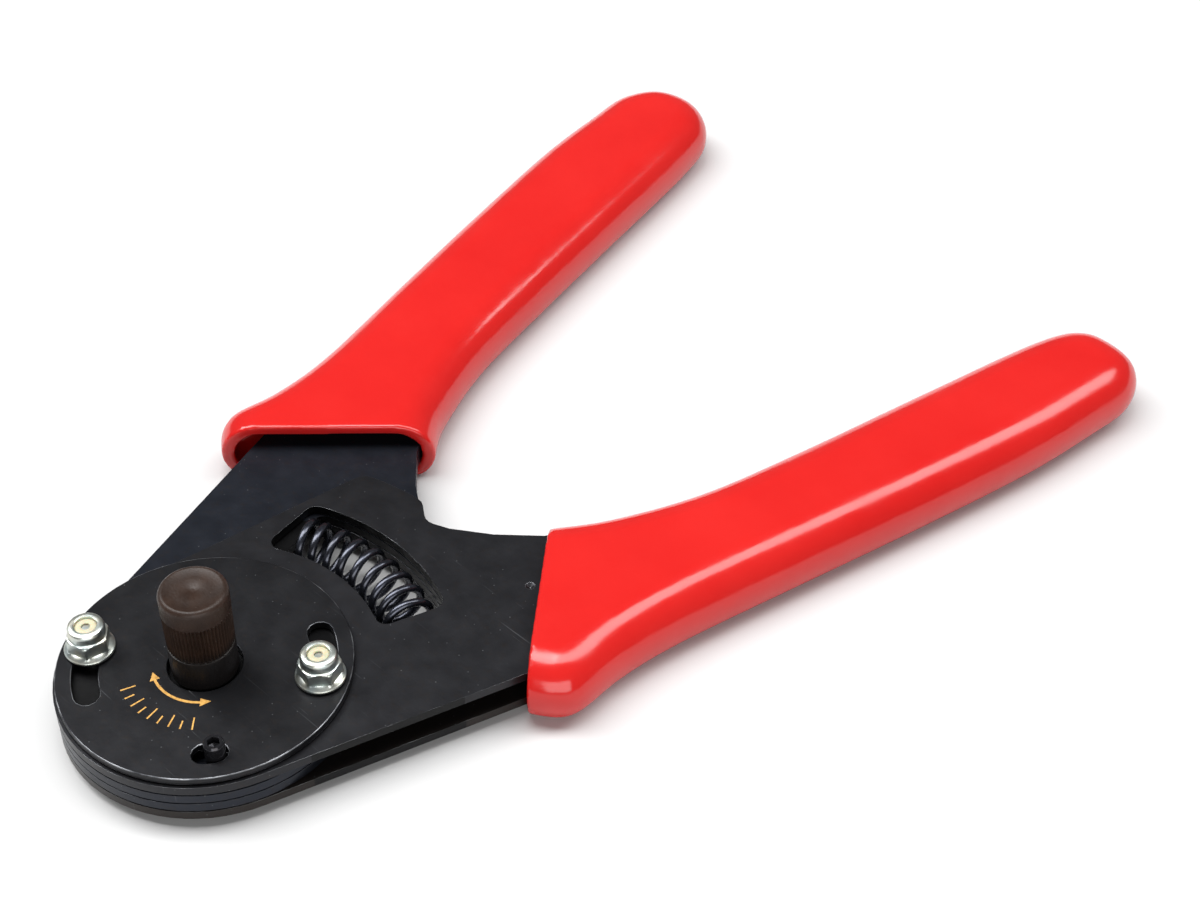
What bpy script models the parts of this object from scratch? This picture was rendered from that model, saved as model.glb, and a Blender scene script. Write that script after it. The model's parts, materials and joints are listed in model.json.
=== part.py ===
"""Four-indent crimping tool for turned contacts, lying flat.

Two outer plates carry the fixed handle and two inner plates the moving handle. The inner plates
turn on a round guide at the pivot and push four indenters inwards. A slotted disc on top limits
the stroke, and a screwed knob sets the depth of the contact stop.

Run with: blender --background --python part.py

Sizes are in millimetres and angles in degrees. Plan coordinates are measured from the pivot,
with +Y along the line that halves the open handles, and an angle grows from +Y towards the
moving handle at -X. The tool rests on the plane z = 0.
"""

import bpy
import bmesh
from math import atan2, cos, degrees, pi, radians, sin, tan
from mathutils import Vector

MM = 0.001

# Driving dimensions
DISC_R = 26.0                  # slotted disc on top of the head
RIM_R = 26.5                   # round end of the four plates
PLATE_T = 1.8
DISC_T = 1.4
GAP = 0.3                      # clearance between neighbouring pieces
SWING = 25.0                   # how far the moving handle closes
DISC_PLAY = 5.0                # how far the disc can be set
PIVOT = (2.26, -81.96)         # pivot axis, so that the box is centred on the origin

# Heights
GRIP_T = 13.5
STACK_Z = 2.3                  # underside of the lowest plate
STEP_Z = PLATE_T + GAP
Z_OUTER_BOTTOM = STACK_Z
Z_INNER_BOTTOM = STACK_Z + STEP_Z
Z_INNER_TOP = STACK_Z + 2 * STEP_Z
Z_OUTER_TOP = STACK_Z + 3 * STEP_Z
Z_PLATES_END = Z_OUTER_TOP + PLATE_T
Z_DISC = Z_PLATES_END + GAP
Z_DISC_TOP = Z_DISC + DISC_T
MID_Z = (STACK_Z + Z_PLATES_END) / 2

# Studs and nuts
STUD_R = 2.0
STUD_ORBIT = 20.8
STUD_ANGLES = {"right": -54.0, "left": 126.0}
STUD_HEAD_R = 3.6
NUT_FLANGE_R = 4.5
NUT_FLATS = 7.0
NUT_COLLAR_R = 3.3
NUT_H = 6.0

# Drive screw, which ties the disc to the inner plates
SCREW_R = 1.85
SCREW_ORBIT = 20.6
SCREW_ANGLE = -123.0
SCREW_PROUD = 2.8

# Outline of an outer plate; the inner plates are its mirror image
OUTER_EDGE_LEAN = 17.5         # lean of the long straight edge away from +Y
LOBE_EDGE_LEAN = 8.5           # lean of the edge on the lobe's side
LOBE_R = 55.4                  # arc that ends the lobe
LOBE_ANGLES = (5.2, 19.6)
CROTCH = (-0.6, 51.9)
INNER_EDGE = [(17.9, 65.0), (11.0, 58.6), (4.0, 53.8)]
TANG = [(45.4, 55.0), (66.5, 165.0), (51.5, 168.0), (33.5, 88.0)]
CORNER_R = 3.0
PUNCH_MARK = (25.4, 54.2)

# Window for the return spring
WINDOW_R = (31.2, 44.2)
SEAT_ANGLES = (26.2, 24.2)     # the end that the spring bears on, at the inner and outer arc
FREE_ANGLES = (33.0, 25.5)     # the slanted far end, at the inner and outer arc

# Return spring
SPRING_ORBIT = 37.5
SPRING_COIL_R = 4.55
SPRING_WIRE_R = 0.77
SPRING_TURNS = 9.0
SPRING_HALF_ANGLE = 23.2

# Indenting head
GUIDE_R = 10.7                 # flange that the inner plates turn on
BOSS_R = 7.4                   # part that fills the outer plates' holes
BORE_R = 3.2                   # way in for the contact
INDENTER_Z = (5.0, 7.2)
INDENTER_W = 3.0
INDENTER_TIP = 2.5
INDENTER_END = 12.6
INDENTER_STROKE = 1.6
DOWEL_ORBIT = 9.2
DOWEL_R = 0.7
DOWEL_ANGLES = (45.0, 225.0)
RING_ORBIT = 6.5
RING_WIRE_R = 0.4

# Knob and contact stop
KNOB_BASE_R = 5.95
KNOB_TOP_R = 6.1
KNOB_H = 18.5                  # above the disc
THREAD_R = 4.6
DISC_HOLE_R = 6.6
KNURL_Z = (6.0, 14.3)          # above the disc
STOP_R = 2.9

# Grips, in the frame grip's own hand; each outline runs on past the mouth, where it is cut off
FRAME_MOUTH = (50.2, 56.2)     # way that the mouth faces, from +Y, and distance from the pivot
MOVING_MOUTH = (45.5, 60.0)
FRAME_GRIP = [(31.2, 28.9), (42.6, 36.7), (47.2, 39.9), (49.3, 44.5), (49.0, 55.4), (50.8, 69.9),
              (56.8, 97.1), (62.9, 124.3), (68.1, 150.5), (70.1, 168.1), (70.6, 178.4),
              (67.4, 184.9), (61.1, 187.2), (53.0, 185.9), (47.4, 176.0), (40.6, 144.3),
              (35.1, 116.9), (29.7, 94.5), (22.6, 77.8), (16.4, 68.2), (8.7, 56.3)]
MOVING_GRIP = [(34.5, 31.4), (45.9, 38.7), (49.6, 41.5), (51.3, 45.7), (50.3, 55.4), (51.9, 69.8),
               (58.8, 96.7), (65.6, 123.8), (71.6, 149.8), (74.2, 167.6), (75.1, 179.0),
               (70.3, 187.9), (60.9, 190.4), (53.0, 186.0), (48.8, 175.6), (41.8, 144.1),
               (35.7, 116.7), (30.1, 94.3), (23.0, 77.5), (17.7, 69.9), (9.0, 59.0)]
GRIP_EDGE = 5.0                # width of the elliptical rounding of the long edges
MOUTH_DEPTH = 9.0              # of the wide part of the moving grip's mouth
PIN_R = 1.6                    # rivets through the tangs
SPACER_R = 4.2
TANG_PINS = [(38.0, 75.0), (56.5, 148.0)]

BLACK_OXIDE = ((0.022, 0.023, 0.027), 0.38, 0.85)
BRIGHT_ZINC = ((0.72, 0.74, 0.72), 0.25, 1.0)
RED_PVC = ((0.83, 0.018, 0.014), 0.22, 0.0)
BROWN_RESIN = ((0.055, 0.027, 0.018), 0.4, 0.0)
NYLON = ((0.72, 0.68, 0.45), 0.5, 0.0)
TOOL_STEEL = ((0.30, 0.30, 0.31), 0.32, 1.0)
SPRING_STEEL = ((0.03, 0.032, 0.04), 0.25, 0.9)


# --- plan geometry -------------------------------------------------------------------------

def polar(radius, angle):
    return (-radius * sin(radians(angle)), radius * cos(radians(angle)))


def arc(radius, start, end, step=5.0, centre=(0.0, 0.0)):
    """Points on an arc, from one angle to another, both included."""
    count = max(2, round(abs(end - start) / step))
    points = []
    for i in range(count + 1):
        x, y = polar(radius, start + (end - start) * i / count)
        points.append((centre[0] + x, centre[1] + y))
    return points


def circle(radius, centre=(0.0, 0.0), sides=20):
    return arc(radius, 0.0, 360.0, 360.0 / sides, centre)[:-1]


def arc_slot(orbit, start, end, half_width):
    """Slot with round ends, bent round the pivot."""
    outer = arc(orbit + half_width, start, end)
    far_end = arc(half_width, end, end + 180.0, 30.0, polar(orbit, end))
    inner = arc(orbit - half_width, end, start)
    near_end = arc(half_width, start - 180.0, start, 30.0, polar(orbit, start))
    return outer + far_end[1:-1] + inner + near_end[1:-1]


def mirrored(points):
    return [(-x, y) for x, y in reversed(points)]


def round_corners(points, radius, least_turn=18.0):
    """Replaces each corner that turns more than least_turn by an arc."""
    result = []
    for i, corner in enumerate(points):
        here = Vector(corner)
        into = (here - Vector(points[i - 1])).normalized()
        out = (Vector(points[(i + 1) % len(points)]) - here).normalized()
        turn = atan2(into.x * out.y - into.y * out.x, into.dot(out))
        if abs(degrees(turn)) < least_turn:
            result.append(corner)
            continue
        start = here - into * radius * tan(abs(turn) / 2)
        side = radius if turn > 0 else -radius
        centre = start + Vector((-into.y, into.x)) * side
        steps = max(2, round(abs(degrees(turn)) / 20.0))
        for k in range(steps + 1):
            angle = turn * k / steps
            arm = start - centre
            x = arm.x * cos(angle) - arm.y * sin(angle)
            y = arm.x * sin(angle) + arm.y * cos(angle)
            result.append((centre.x + x, centre.y + y))
    return result


def curve_through(points, steps=3):
    """Smooth curve through the points, each span cut into steps."""
    ends = [points[0]] + list(points) + [points[-1]]
    result = []
    for i in range(len(points) - 1):
        p0, p1, p2, p3 = (Vector(p) for p in ends[i:i + 4])
        for k in range(steps):
            t = k / steps
            spot = (2 * p1 + (p2 - p0) * t + (2 * p0 - 5 * p1 + 4 * p2 - p3) * t ** 2
                    + (3 * p1 - p0 - 3 * p2 + p3) * t ** 3) / 2
            result.append(tuple(spot))
    result.append(tuple(points[-1]))
    return result


def inset(points, depth):
    """Moves a closed counter-clockwise outline inwards by depth, or outwards if it is negative."""
    result = []
    for i, corner in enumerate(points):
        here = Vector(corner)
        into = (here - Vector(points[i - 1])).normalized()
        out = (Vector(points[(i + 1) % len(points)]) - here).normalized()
        inward = Vector((-into.y - out.y, into.x + out.x)).normalized()
        reach = depth / max(0.5, inward.dot(Vector((-into.y, into.x))))
        result.append(tuple(here + inward * reach))
    return result


def clip(points, angle, distance):
    """Keeps the part of an outline whose distance along a direction is below the limit."""
    along = Vector((sin(radians(angle)), cos(radians(angle))))
    result = []
    for i, corner in enumerate(points):
        last = Vector(points[i - 1])
        here = Vector(corner)
        last_over = along.dot(last) - distance
        here_over = along.dot(here) - distance
        if last_over * here_over < 0:
            result.append(tuple(last.lerp(here, last_over / (last_over - here_over))))
        if here_over <= 0:
            result.append(corner)
    return result


# --- meshes --------------------------------------------------------------------------------

def finish_mesh(name, bm, location=(0.0, 0.0)):
    """Turns a bmesh in millimetres into an object under the pivot."""
    bmesh.ops.remove_doubles(bm, verts=bm.verts, dist=1e-4)
    bmesh.ops.recalc_face_normals(bm, faces=bm.faces)
    bmesh.ops.scale(bm, vec=(MM, MM, MM), verts=bm.verts)
    mesh = bpy.data.meshes.new(name)
    bm.to_mesh(mesh)
    bm.free()
    mesh.shade_smooth()
    mesh.set_sharp_from_angle(angle=radians(28))
    return add_object(name, mesh, location)


def add_object(name, data, location=(0.0, 0.0)):
    obj = bpy.data.objects.new(name, data)
    bpy.context.scene.collection.objects.link(obj)
    obj.parent = head_axis
    obj.location = (location[0] * MM, location[1] * MM, 0.0)
    return obj


def slab(name, outline, holes, z0, z1):
    """Flat plate with holes."""
    bm = bmesh.new()
    edges = []
    for loop in [outline] + holes:
        verts = [bm.verts.new((x, y, z0)) for x, y in loop]
        edges += [bm.edges.new((verts[i - 1], verts[i])) for i in range(len(verts))]
    bmesh.ops.triangle_fill(bm, use_beauty=True, use_dissolve=False, edges=edges)
    grown = bmesh.ops.extrude_face_region(bm, geom=bm.faces[:] + bm.edges[:] + bm.verts[:])
    lifted = [v for v in grown["geom"] if isinstance(v, bmesh.types.BMVert)]
    bmesh.ops.translate(bm, vec=(0, 0, z1 - z0), verts=lifted)
    return finish_mesh(name, bm)


def skin(name, rings, hollow=False, location=(0.0, 0.0)):
    """Closed skin over rings of points; a hollow one joins its last ring to its first."""
    bm = bmesh.new()
    loops = [[bm.verts.new(point) for point in ring] for ring in rings]
    pairs = list(zip(loops, loops[1:]))
    if hollow:
        pairs.append((loops[-1], loops[0]))
    for low, high in pairs:
        for i in range(len(low)):
            bm.faces.new((low[i - 1], low[i], high[i], high[i - 1]))
    if not hollow:
        bm.faces.new(loops[0])
        bm.faces.new(loops[-1])
    return finish_mesh(name, bm, location)


def turned(name, profile, hollow=False, sides=32, location=(0.0, 0.0)):
    """Turned piece from (radius, height) pairs, running up the outside."""
    rings = []
    for radius, z in profile:
        rings.append([(x, y, z) for x, y in circle(radius, sides=sides)])
    return skin(name, rings, hollow, location)


def wire(name, path, radius):
    """Round wire along a path of points in millimetres."""
    curve = bpy.data.curves.new(name, "CURVE")
    curve.dimensions = "3D"
    curve.bevel_depth = radius * MM
    curve.bevel_resolution = 1
    curve.use_fill_caps = True
    spline = curve.splines.new("POLY")
    spline.points.add(len(path) - 1)
    for point, (x, y, z) in zip(spline.points, path):
        point.co = (x * MM, y * MM, z * MM, 1.0)
    return add_object(name, curve)


def cut(obj, cutter):
    """Takes the cutter out of the object and hides the cutter."""
    cutter.hide_render = True
    cutter.display_type = "WIRE"
    modifier = obj.modifiers.new("cut_" + cutter.name, "BOOLEAN")
    modifier.operation = "DIFFERENCE"
    modifier.object = cutter


def paint(obj, finish):
    colour, roughness, metallic = finish
    material = bpy.data.materials.new(obj.name + "_finish")
    material.use_nodes = True
    shader = material.node_tree.nodes["Principled BSDF"]
    shader.inputs["Base Color"].default_value = (*colour, 1.0)
    shader.inputs["Roughness"].default_value = roughness
    shader.inputs["Metallic"].default_value = metallic
    obj.data.materials.append(material)


# --- handle plates -------------------------------------------------------------------------

def plate_outline():
    """Outer plate: round head, lobe over the spring, and tang inside the frame grip."""
    right_tangent = -90.0 - OUTER_EDGE_LEAN
    left_tangent = 90.0 - LOBE_EDGE_LEAN
    lobe = arc(LOBE_R, LOBE_ANGLES[0], LOBE_ANGLES[1])
    corners = TANG + INNER_EDGE + [CROTCH] + lobe
    rim = arc(RIM_R, left_tangent, right_tangent + 360.0)
    return round_corners(corners + rim, CORNER_R)


def window():
    inner = arc(WINDOW_R[0], -SEAT_ANGLES[0], FREE_ANGLES[0])
    outer = arc(WINDOW_R[1], FREE_ANGLES[1], -SEAT_ANGLES[1])
    return round_corners(inner + outer, 2.2)


def stud_holes():
    return [circle(STUD_R + GAP, polar(STUD_ORBIT, angle)) for angle in STUD_ANGLES.values()]


def dowel_holes():
    return [circle(DOWEL_R + GAP, polar(DOWEL_ORBIT, angle), 12) for angle in DOWEL_ANGLES]


def tang_holes():
    return [circle(PIN_R + GAP, centre, 12) for centre in TANG_PINS]


def cam_bore():
    """Bearing bore with four pockets that grow shallower, so that turning pushes the indenters."""
    deep = INDENTER_END + GAP
    land = GUIDE_R + GAP
    margin = 10.0
    points = []
    for start in (0.0, 90.0, 180.0, 270.0):
        points += arc(deep, start - margin, start)
        steps = 7
        for i in range(1, steps + 1):
            points.append(polar(deep - INDENTER_STROKE * i / steps, start + SWING * i / steps))
        points += arc(deep - INDENTER_STROKE, start + SWING, start + SWING + margin)[1:]
        points += arc(land, start + SWING + margin, start + 90.0 - margin)
    return points


def punch_mark():
    """Cone of the punch mark beside the frame grip."""
    depth = 0.6
    radius = 0.9
    return turned("punch_mark", [(0.1, Z_PLATES_END - depth), (radius, Z_PLATES_END),
                                 (radius, Z_PLATES_END + depth)], sides=12, location=PUNCH_MARK)


def make_outer_plates():
    boss_hole = circle(BOSS_R + GAP, sides=36)
    common = [window(), boss_hole] + stud_holes() + dowel_holes() + tang_holes()
    screw_way = arc_slot(SCREW_ORBIT, SCREW_ANGLE - SWING, SCREW_ANGLE, SCREW_R + GAP)
    top = slab("outer_plate_top", plate_outline(), common + [screw_way],
               Z_OUTER_TOP, Z_PLATES_END)
    bottom = slab("outer_plate_bottom", plate_outline(), common,
                  Z_OUTER_BOTTOM, Z_OUTER_BOTTOM + PLATE_T)
    cut(top, punch_mark())
    for plate in (top, bottom):
        paint(plate, BLACK_OXIDE)


def make_inner_plates():
    outline = mirrored(plate_outline())
    holes = [mirrored(window()), cam_bore()]
    holes += [arc_slot(STUD_ORBIT, angle - 1.0, angle + SWING + 1.0, STUD_R + GAP)
              for angle in STUD_ANGLES.values()]
    holes.append(circle(SCREW_R + GAP, polar(SCREW_ORBIT, SCREW_ANGLE)))
    holes += [mirrored(hole) for hole in tang_holes()]
    for name, z in (("inner_plate_top", Z_INNER_TOP), ("inner_plate_bottom", Z_INNER_BOTTOM)):
        paint(slab(name, outline, holes, z, z + PLATE_T), BLACK_OXIDE)


# --- grips ---------------------------------------------------------------------------------

def tang_space():
    """Space that the plates take in a grip, open at the mouth."""
    edge = Vector((cos(radians(OUTER_EDGE_LEAN)), -sin(radians(OUTER_EDGE_LEAN)))) * RIM_R
    along = Vector((sin(radians(OUTER_EDGE_LEAN)), cos(radians(OUTER_EDGE_LEAN))))
    outside = tuple(edge + along * 28.0)
    return inset([outside] + TANG + INNER_EDGE[:2], -GAP)


def before_mouth(angle, distance):
    """Ground plan of everything between the pivot and a grip's mouth."""
    facing = Vector((sin(radians(angle)), cos(radians(angle))))
    across = Vector((facing.y, -facing.x)) * 50.0
    near, far = facing * (distance - 30.0), facing * distance
    return [tuple(near - across), tuple(near + across), tuple(far + across), tuple(far - across)]


def make_grip(name, outline, mouth, flip, z0, z1):
    place = mirrored if flip else list
    outline = place([outline[0]] + curve_through(outline[1:-1]) + [outline[-1]])
    rings = []
    steps = 5
    for i in range(steps + 1):
        angle = pi / 2 * i / steps
        level = inset(outline, GRIP_EDGE * (1 - sin(angle)))
        rings.append([(x, y, GRIP_T / 2 * (1 - cos(angle))) for x, y in level])
    rings += [[(x, y, GRIP_T - z) for x, y, z in ring] for ring in reversed(rings[:-1])]
    grip = skin(name, rings)
    cut(grip, slab(name + "_mouth", place(before_mouth(*mouth)), [], -1.0, GRIP_T + 1.0))
    cut(grip, slab(name + "_tang_space", place(tang_space()), [], z0 - GAP, z1 + GAP))
    paint(grip, RED_PVC)
    return grip


def make_grips():
    make_grip("frame_grip", FRAME_GRIP, FRAME_MOUTH, False, Z_OUTER_BOTTOM, Z_PLATES_END)
    moving = make_grip("moving_grip", MOVING_GRIP, MOVING_MOUTH, True, Z_INNER_BOTTOM,
                       Z_OUTER_TOP - GAP)
    angle, distance = MOVING_MOUTH
    wide = clip(tang_space(), angle, distance + MOUTH_DEPTH)
    cut(moving, slab("moving_grip_wide_mouth", mirrored(wide), [],
                     Z_OUTER_BOTTOM - GAP, Z_PLATES_END + GAP))


def make_tang_fasteners():
    """Rivets through both tangs, and spacers that keep the outer plates apart."""
    for number, (x, y) in enumerate(TANG_PINS, start=1):
        long_pin = [(PIN_R, Z_OUTER_BOTTOM), (PIN_R, Z_PLATES_END)]
        short_pin = [(PIN_R, Z_INNER_BOTTOM), (PIN_R, Z_OUTER_TOP - GAP)]
        spacer = [(SPACER_R, Z_INNER_BOTTOM), (SPACER_R, Z_OUTER_TOP - GAP),
                  (PIN_R + GAP, Z_OUTER_TOP - GAP), (PIN_R + GAP, Z_INNER_BOTTOM)]
        paint(turned(f"frame_rivet_{number}", long_pin, sides=12, location=(x, y)), TOOL_STEEL)
        paint(turned(f"handle_spacer_{number}", spacer, True, 12, (x, y)), TOOL_STEEL)
        paint(turned(f"moving_rivet_{number}", short_pin, sides=12, location=(-x, y)), TOOL_STEEL)


# --- indenting head ------------------------------------------------------------------------

def make_guide():
    """Round guide with slots for the indenters, its cap, and the dowels that hold them still."""
    top = INDENTER_Z[1]
    slot_floor = INDENTER_Z[0] - GAP
    body = turned("guide_body", [
        (BOSS_R, STACK_Z), (BOSS_R, Z_INNER_BOTTOM), (GUIDE_R, Z_INNER_BOTTOM), (GUIDE_R, top),
        (BORE_R, top), (BORE_R, STACK_Z + 1.0), (BORE_R + 1.0, STACK_Z)], True, 36)
    cap_z = top + GAP
    shoulder = Z_OUTER_TOP - GAP
    cap = turned("guide_cap", [
        (GUIDE_R, cap_z), (GUIDE_R, shoulder), (BOSS_R, shoulder), (BOSS_R, Z_PLATES_END),
        (THREAD_R + GAP, Z_PLATES_END), (THREAD_R + GAP, cap_z)], True, 36)
    half = INDENTER_W / 2 + GAP
    far = GUIDE_R + 1.0
    arm = [(half, half), (half, far), (-half, far)]
    cross = arm + [(-y, x) for x, y in arm] + [(-x, -y) for x, y in arm] + [(y, -x) for x, y in arm]
    cut(body, slab("guide_slots", cross, [], slot_floor, top + 1.0))
    groove = RING_WIRE_R + 0.2
    inner, outer = RING_ORBIT - groove, RING_ORBIT + groove
    floor = top - 2 * RING_WIRE_R - 0.4
    cut(body, turned("guide_ring_groove", [(outer, floor), (outer, top + 1.0), (inner, top + 1.0),
                                           (inner, floor)], True, 40))
    for number, angle in enumerate(DOWEL_ANGLES, start=1):
        spot = polar(DOWEL_ORBIT, angle)
        pin = [(DOWEL_R, Z_OUTER_BOTTOM), (DOWEL_R, Z_PLATES_END)]
        drill = [(DOWEL_R + GAP, 0.0), (DOWEL_R + GAP, Z_DISC_TOP)]
        hole = turned(f"dowel_hole_{number}", drill, sides=12, location=spot)
        cut(body, hole)
        cut(cap, hole)
        paint(turned(f"guide_dowel_{number}", pin, sides=12, location=spot), TOOL_STEEL)
    for piece in (body, cap):
        paint(piece, TOOL_STEEL)


def indenter_outline():
    """Pointed towards the pivot, with a round nose that follows the cam bore."""
    half = INDENTER_W / 2
    tip_half = 0.45
    tip_length = 1.5
    nose = arc(half, 0.0, 180.0, 22.5)
    nose_centre = INDENTER_END - half
    points = [(INDENTER_TIP, tip_half), (INDENTER_TIP, -tip_half),
              (INDENTER_TIP + tip_length, -half)]
    points += [(nose_centre - x, -y) for x, y in nose]
    points.append((INDENTER_TIP + tip_length, half))
    return points


def make_indenters():
    low, high = INDENTER_Z
    travel = INDENTER_STROKE + GAP
    reach = RING_WIRE_R + GAP
    notch = [(RING_ORBIT - reach, -2.0), (RING_ORBIT + reach + travel, -2.0),
             (RING_ORBIT + reach + travel, 2.0), (RING_ORBIT - reach, 2.0)]
    for number in range(4):
        name = f"indenter_{number + 1}"
        indenter = slab(name, indenter_outline(), [], low, high)
        cutter = slab(name + "_ring_notch", notch, [], high - 2 * RING_WIRE_R - 0.5, high + 1.0)
        for piece in (indenter, cutter):
            piece.rotation_euler.z = number * pi / 2
        cut(indenter, cutter)
        paint(indenter, TOOL_STEEL)


def make_return_ring():
    """Open spring ring that pushes the indenters back out."""
    z = INDENTER_Z[1] - RING_WIRE_R - 0.1
    path = [(x, y, z) for x, y in arc(RING_ORBIT, 55.0, 395.0, 10.0)]
    paint(wire("indenter_return_ring", path, RING_WIRE_R), SPRING_STEEL)


def make_return_spring():
    """Coil spring bent along the window, with close end coils."""
    steps_per_turn = 12
    count = round(SPRING_TURNS * steps_per_turn)
    close = 0.8 * steps_per_turn
    end_pitch = degrees(2.15 * SPRING_WIRE_R / (SPRING_ORBIT - SPRING_COIL_R)) / steps_per_turn
    open_pitch = (2 * SPRING_HALF_ANGLE - 2 * close * end_pitch) / (count - 2 * close)
    path = []
    angle = -SPRING_HALF_ANGLE
    for i in range(count + 1):
        turn = 2 * pi * i / steps_per_turn
        x, y = polar(SPRING_ORBIT + SPRING_COIL_R * cos(turn), angle)
        path.append((x, y, MID_Z - SPRING_COIL_R * sin(turn)))
        middle = close <= i + 0.5 <= count - close
        angle += open_pitch if middle else end_pitch
    paint(wire("return_spring", path, SPRING_WIRE_R), SPRING_STEEL)


# --- disc, studs and nuts ------------------------------------------------------------------

def make_disc():
    spare = 0.3
    holes = [circle(DISC_HOLE_R, sides=36)]
    for angle in STUD_ANGLES.values():
        start = angle - DISC_PLAY - spare
        end = angle + SWING + DISC_PLAY
        holes.append(arc_slot(STUD_ORBIT, start, end, STUD_R + GAP))
    holes.append(arc_slot(SCREW_ORBIT, SCREW_ANGLE - DISC_PLAY - spare, SCREW_ANGLE + spare,
                          SCREW_R + GAP))
    disc = slab("adjuster_disc", circle(DISC_R, sides=72), holes, Z_DISC, Z_DISC_TOP)
    paint(disc, BLACK_OXIDE)


def hexagon_ring(z, flats, limit, sides=24):
    """Ring of points on a hexagon whose corners are cut to a circle."""
    points = []
    for i in range(sides):
        angle = 360.0 * i / sides
        to_flat = abs((angle % 60.0) - 30.0)
        points.append((*polar(min(limit, flats / 2 / cos(radians(to_flat))), angle), z))
    return points


def round_ring(radius, z, sides=24):
    return [(x, y, z) for x, y in circle(radius, sides=sides)]


def make_studs_and_nuts():
    seat = Z_DISC_TOP + GAP
    top = seat + NUT_H
    bore = STUD_R + GAP
    hex_corner = NUT_FLATS / 2 / cos(radians(30.0))
    collar_z = top - 2.2
    groove_r = NUT_COLLAR_R - 0.3
    for side, angle in STUD_ANGLES.items():
        spot = polar(STUD_ORBIT, angle)
        head_edge = 0.4
        stud = turned("stud_" + side, [
            (STUD_HEAD_R - head_edge, 0.0), (STUD_HEAD_R, head_edge),
            (STUD_HEAD_R, STACK_Z - GAP), (STUD_R, STACK_Z - GAP),
            (STUD_R, top - 1.0), (STUD_R - 0.4, top - 0.6)], sides=24, location=spot)
        nut = skin("nut_" + side, [
            round_ring(bore, seat), round_ring(NUT_FLANGE_R - 0.2, seat),
            round_ring(NUT_FLANGE_R, seat + 0.3), round_ring(NUT_FLANGE_R, seat + 0.8),
            hexagon_ring(seat + 1.5, NUT_FLATS, hex_corner - 0.1),
            hexagon_ring(collar_z - 0.6, NUT_FLATS, hex_corner - 0.1),
            hexagon_ring(collar_z, NUT_FLATS - 0.3, NUT_COLLAR_R + 0.2),
            round_ring(NUT_COLLAR_R, collar_z + 0.2), round_ring(NUT_COLLAR_R, top - 0.7),
            round_ring(NUT_COLLAR_R - 0.4, top), round_ring(bore, top),
            round_ring(bore, top - 0.4), round_ring(groove_r, top - 0.4),
            round_ring(groove_r, collar_z + 0.4), round_ring(bore, collar_z + 0.4)],
            True, spot)
        insert = turned("nut_insert_" + side, [
            (groove_r - GAP, collar_z + 0.7), (groove_r - GAP, top - 0.7),
            (bore, top - 0.7), (bore, collar_z + 0.7)], True, 24, spot)
        paint(stud, BRIGHT_ZINC)
        paint(nut, BRIGHT_ZINC)
        paint(insert, NYLON)


def make_drive_screw():
    """Headless screw with a hexagon socket, proud of the disc."""
    top = Z_DISC_TOP + SCREW_PROUD
    socket = 1.6
    profile_low = round_ring(SCREW_R, Z_INNER_BOTTOM + 0.1)
    screw = skin("drive_screw", [
        profile_low, round_ring(SCREW_R, top - 0.35), round_ring(SCREW_R - 0.35, top),
        hexagon_ring(top, socket, socket), hexagon_ring(top - 1.2, socket, socket)],
        False, polar(SCREW_ORBIT, SCREW_ANGLE))
    paint(screw, BLACK_OXIDE)


# --- knob and stop -------------------------------------------------------------------------

def make_knob():
    """Knob as one turned solid with a blind bore, open at its stem."""
    base = Z_PLATES_END + 2 * GAP
    stem = INDENTER_Z[1] + 1.6
    knurl_low, knurl_high = (Z_DISC_TOP + z for z in KNURL_Z)
    top = Z_DISC_TOP + KNOB_H
    chamfer = 0.5
    bore_end = stem + 11.5
    profile = [
        (0.3, bore_end + 0.8), (BORE_R, bore_end), (BORE_R, stem), (THREAD_R - 0.3, stem),
        (THREAD_R, stem + 0.3), (THREAD_R, base), (KNOB_BASE_R, base), (KNOB_BASE_R, knurl_low),
        (KNOB_BASE_R - 0.15, knurl_low + 0.15), (KNOB_TOP_R + 0.05, knurl_high),
        (KNOB_TOP_R, top - chamfer), (KNOB_TOP_R - chamfer, top),
        (KNOB_TOP_R - chamfer - 0.3, top - 0.1)]
    knob = turned("knob", profile, False, 40)
    paint(knob, BROWN_RESIN)


def make_contact_stop():
    low = INDENTER_Z[1] + 1.2
    high = INDENTER_Z[1] + 12.0
    stop = turned("locator_stop", [
        (0.4, low + 0.8), (1.2, low), (STOP_R - 0.3, low), (STOP_R, low + 0.3),
        (STOP_R, high - 0.4), (STOP_R - 0.4, high)], False, 24)
    paint(stop, TOOL_STEEL)


for old in list(bpy.data.objects):
    bpy.data.objects.remove(old, do_unlink=True)
head_axis = bpy.data.objects.new("head_axis", None)
bpy.context.scene.collection.objects.link(head_axis)
head_axis.location = (PIVOT[0] * MM, PIVOT[1] * MM, 0.0)

make_outer_plates()
make_inner_plates()
make_grips()
make_tang_fasteners()
make_guide()
make_indenters()
make_return_ring()
make_return_spring()
make_disc()
make_studs_and_nuts()
make_drive_screw()
make_knob()
make_contact_stop()
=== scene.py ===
"""Looks of the four-indent crimping tool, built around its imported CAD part.

The plates, the disc and the guide stay as the CAD made them, with softened edges and black-oxide
finishes, and the small parts inside stay as plain steel. The dipped grips, the knob, the nuts, the
studs, the drive screw and the return spring are finer pieces that stand for their CAD solids.

Shapes are written in millimetres from the pivot axis, with +Y along the line that halves the
open handles and +Z up from the floor. Angles are in degrees and grow from +Y towards -X.
"""

import json
from math import cos, degrees, pi, radians, sin

import bmesh
import bpy
from mathutils import Matrix, Vector


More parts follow.
